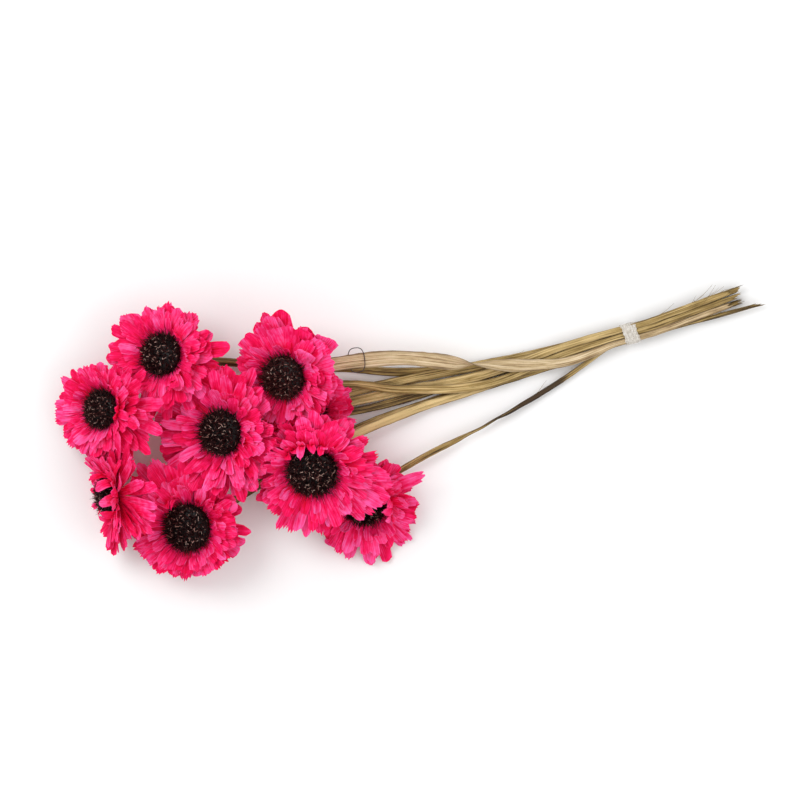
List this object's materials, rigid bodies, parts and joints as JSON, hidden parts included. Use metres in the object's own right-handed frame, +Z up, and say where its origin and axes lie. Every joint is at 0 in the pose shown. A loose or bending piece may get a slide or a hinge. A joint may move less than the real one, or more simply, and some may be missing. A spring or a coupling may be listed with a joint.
{
  "type": "tied bunch of cut gerberas",
  "caption": "Tied bunch of cut, dried gerbera daisies with papery petals round bristly seed discs, on flat straw stems held near their cut ends by a clear tape tie, lying on its side.",
  "frame": {"origin": "the point on the floor under the middle of the bunch's box", "axes": "+X along the bunch, from the flowers towards the cut ends of the stems; +Z up from the floor it lies on; +Y to the side of the upper flowers"},
  "size_m": [0.531, 0.2268, 0.0761],
  "materials": {
    "petal_outer": "matt, dyed hot pink, fine lengthwise pleats",
    "petal_inner": "matt, dyed hot pink, crinkled",
    "seed": "dry dark maroon bristles with pale tips",
    "calyx": "dry, fibrous",
    "straw": "dry straw with dark streaks along it",
    "tape": "clear tape, milky and wrinkled",
    "wire": "dark, dull"
  },
  "bodies": {
    "root": {"seed_disc_1": "seed", "inner_petals_1": "petal_inner", "outer_petals_1": "petal_outer", "calyx_1": "calyx", "stem_1": "straw", "seed_disc_2": "seed", "inner_petals_2": "petal_inner", "outer_petals_2": "petal_outer", "calyx_2": "calyx", "stem_2": "straw", "seed_disc_3": "seed", "inner_petals_3": "petal_inner", "outer_petals_3": "petal_outer", "calyx_3": "calyx", "stem_3": "straw", "seed_disc_4": "seed", "inner_petals_4": "petal_inner", "outer_petals_4": "petal_outer", "calyx_4": "calyx", "stem_4": "straw", "seed_disc_5": "seed", "inner_petals_5": "petal_inner", "outer_petals_5": "petal_outer", "calyx_5": "calyx", "stem_5": "straw", "seed_disc_6": "seed", "inner_petals_6": "petal_inner", "outer_petals_6": "petal_outer", "calyx_6": "calyx", "stem_6": "straw", "seed_disc_7": "seed", "inner_petals_7": "petal_inner", "outer_petals_7": "petal_outer", "calyx_7": "calyx", "stem_7": "straw", "seed_disc_8": "seed", "inner_petals_8": "petal_inner", "outer_petals_8": "petal_outer", "calyx_8": "calyx", "stem_8": "straw", "seed_disc_9": "seed", "inner_petals_9": "petal_inner", "outer_petals_9": "petal_outer", "calyx_9": "calyx", "stem_9": "straw", "tape_tie": "tape", "binding_wire": "wire"}
  },
  "joints": []
}
